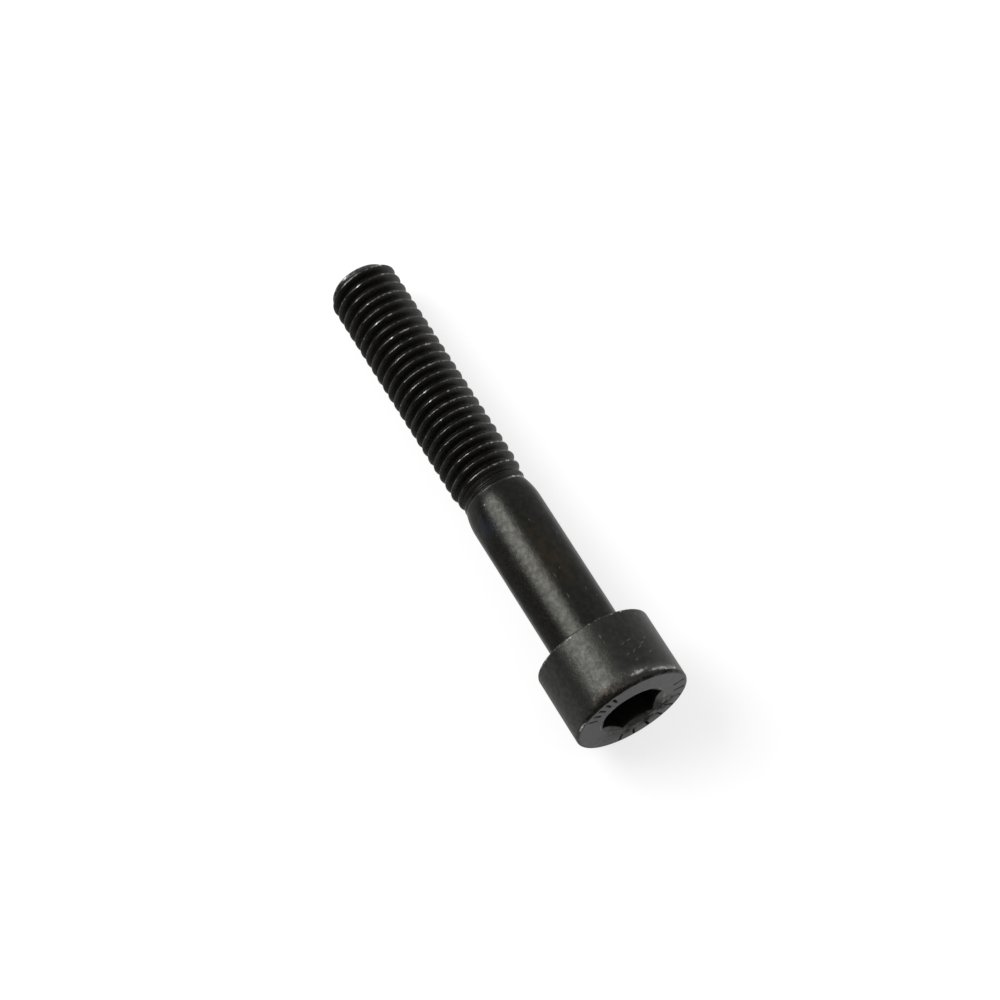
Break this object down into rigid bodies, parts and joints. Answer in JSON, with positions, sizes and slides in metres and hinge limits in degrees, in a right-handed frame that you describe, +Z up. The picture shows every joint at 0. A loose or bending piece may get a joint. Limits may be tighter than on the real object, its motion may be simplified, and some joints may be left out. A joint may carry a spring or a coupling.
{
  "type": "hex socket cap screw",
  "caption": "Partly threaded cap screw with a cylindrical head, a hexagon socket, a plain shank and a chamfered point.",
  "frame": {"origin": "on the floor under the middle of the lying screw: the centre of the bounding box's base", "axes": "+Z up from the floor; the screw's axis lies in the XZ plane with the head at +X, and drops by 2.88 degrees from the head to the point, as the screw lies on its head's rim and its thread"},
  "size_m": [0.0584, 0.0128, 0.0131],
  "materials": {
    "blackened_steel": "black oxide on alloy steel, satin, worn bright on edges and crests"
  },
  "bodies": {
    "root": {"cap_screw": "blackened_steel"}
  },
  "joints": []
}
